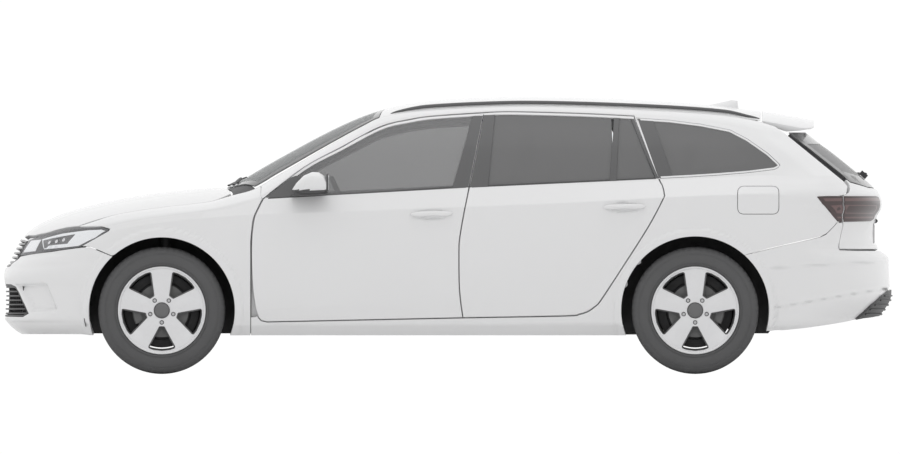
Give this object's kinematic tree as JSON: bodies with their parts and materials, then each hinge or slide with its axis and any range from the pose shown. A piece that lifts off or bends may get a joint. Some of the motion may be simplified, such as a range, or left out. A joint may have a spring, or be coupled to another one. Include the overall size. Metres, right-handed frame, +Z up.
{
  "type": "five-door station wagon",
  "caption": "Station wagon with opening doors, hood, tailgate and fuel flap, steered front wheels and a hollow cabin behind see-through windows.",
  "frame": {"origin": "on the ground under the middle of the car's overall box, at rest on its wheels", "axes": "+Z up; the nose points along -X; the car's left side is -Y; X is the car's length"},
  "size_m": [4.6984, 2.124, 1.4681],
  "materials": {
    "body_paint": "gloss white paint with clear coat",
    "underbody": "grey sealed steel",
    "black_plastic": "grained black plastic",
    "clear_glass": "lightly tinted",
    "privacy_glass": "dark tinted",
    "lamp_lens": "clear",
    "red_lens": "red lens",
    "satin_rail": "dark anodised",
    "engine_metal": "plain block",
    "chassis_steel": "black coated",
    "exhaust_steel": "dull",
    "dash_plastic": "soft grained",
    "seat_fabric": "woven",
    "wheel_leather": "smooth",
    "tyre": "tread and sidewall",
    "rim_alloy": "silver lacquer"
  },
  "bodies": {
    "root": {"floor_pan": "underbody", "side_frame_left": "body_paint", "side_frame_right": "body_paint", "roof_panel": "body_paint", "front_wings": "body_paint", "front_bumper": "body_paint", "grille": "black_plastic", "rear_bumper": "body_paint", "windshield": "clear_glass", "quarter_windows": "privacy_glass", "headlights": "lamp_lens", "tail_lights": "red_lens", "roof_rails": "satin_rail", "wheel_liners": "black_plastic", "engine": "engine_metal", "front_subframe": "chassis_steel", "rear_axle": "chassis_steel", "exhaust": "exhaust_steel", "fuel_tank": "black_plastic", "dashboard": "dash_plastic", "front_seats": "seat_fabric", "rear_seat": "seat_fabric"},
    "hood": {"hood": "body_paint"},
    "tailgate": {"tailgate": "body_paint", "rear_window": "privacy_glass", "tailgate_lights": "red_lens"},
    "front_left_door": {"front_door_left": "body_paint", "front_door_glass_left": "clear_glass", "mirror_left": "body_paint"},
    "front_right_door": {"front_door_right": "body_paint", "front_door_glass_right": "clear_glass", "mirror_right": "body_paint"},
    "rear_left_door": {"rear_door_left": "body_paint", "rear_door_glass_left": "privacy_glass"},
    "rear_right_door": {"rear_door_right": "body_paint", "rear_door_glass_right": "privacy_glass"},
    "fuel_flap": {"fuel_flap": "body_paint"},
    "steering_wheel": {"steering_wheel": "wheel_leather"},
    "left_knuckle": {"knuckle_left": "chassis_steel"},
    "right_knuckle": {"knuckle_right": "chassis_steel"},
    "front_left_wheel": {"tyre_front_left": "tyre", "rim_front_left": "rim_alloy"},
    "front_right_wheel": {"tyre_front_right": "tyre", "rim_front_right": "rim_alloy"},
    "rear_left_wheel": {"tyre_rear_left": "tyre", "rim_rear_left": "rim_alloy"},
    "rear_right_wheel": {"tyre_rear_right": "tyre", "rim_rear_right": "rim_alloy"}
  },
  "joints": [
    {"name": "front_left_door_hinge", "type": "hinge", "parent": "root", "child": "front_left_door", "pos_m": [-1.037, -0.914, 0.6], "axis": [0, 0, -1], "range_deg": [0, 68]},
    {"name": "front_right_door_hinge", "type": "hinge", "parent": "root", "child": "front_right_door", "pos_m": [-1.037, 0.914, 0.6], "axis": [0, 0, 1], "range_deg": [0, 68]},
    {"name": "rear_left_door_hinge", "type": "hinge", "parent": "root", "child": "rear_left_door", "pos_m": [0.062, -0.917, 0.6], "axis": [0, 0, -1], "range_deg": [0, 70]},
    {"name": "rear_right_door_hinge", "type": "hinge", "parent": "root", "child": "rear_right_door", "pos_m": [0.062, 0.917, 0.6], "axis": [0, 0, 1], "range_deg": [0, 70]},
    {"name": "hood_hinge", "type": "hinge", "parent": "root", "child": "hood", "pos_m": [-1.14, 0, 0.975], "axis": [0, 1, 0], "range_deg": [0, 55]},
    {"name": "tailgate_hinge", "type": "hinge", "parent": "root", "child": "tailgate", "pos_m": [1.668, 0, 1.396], "axis": [0, -1, 0], "range_deg": [0, 78]},
    {"name": "fuel_flap_hinge", "type": "hinge", "parent": "root", "child": "fuel_flap", "pos_m": [1.54, -0.905, 0.92], "axis": [0, 0, -1], "range_deg": [0, 95]},
    {"name": "steer_left", "type": "hinge", "parent": "root", "child": "left_knuckle", "pos_m": [-1.513, -0.69, 0.337], "axis": [0, 0, 1], "range_deg": [-35, 35]},
    {"name": "steer_right", "type": "hinge", "parent": "root", "child": "right_knuckle", "pos_m": [-1.513, 0.69, 0.337], "axis": [0, 0, 1], "range_deg": [-35, 35]},
    {"name": "steering_wheel_turn", "type": "hinge", "parent": "root", "child": "steering_wheel", "pos_m": [-0.54, -0.37, 0.88], "axis": [0.9063, 0, 0.4226], "range_deg": [-490, 490]},
    {"name": "front_left_roll", "type": "hinge", "parent": "left_knuckle", "child": "front_left_wheel", "pos_m": [-1.513, -0.79, 0.337], "axis": [0, 1, 0], "continuous": true},
    {"name": "front_right_roll", "type": "hinge", "parent": "right_knuckle", "child": "front_right_wheel", "pos_m": [-1.513, 0.79, 0.337], "axis": [0, 1, 0], "continuous": true},
    {"name": "rear_left_roll", "type": "hinge", "parent": "root", "child": "rear_left_wheel", "pos_m": [1.314, -0.79, 0.337], "axis": [0, 1, 0], "continuous": true},
    {"name": "rear_right_roll", "type": "hinge", "parent": "root", "child": "rear_right_wheel", "pos_m": [1.314, 0.79, 0.337], "axis": [0, 1, 0], "continuous": true}
  ],
  "couplings": [
    {"joint": "steer_right", "follows": "steer_left", "ratio": 1},
    {"joint": "steering_wheel_turn", "follows": "steer_left", "ratio": 14}
  ]
}
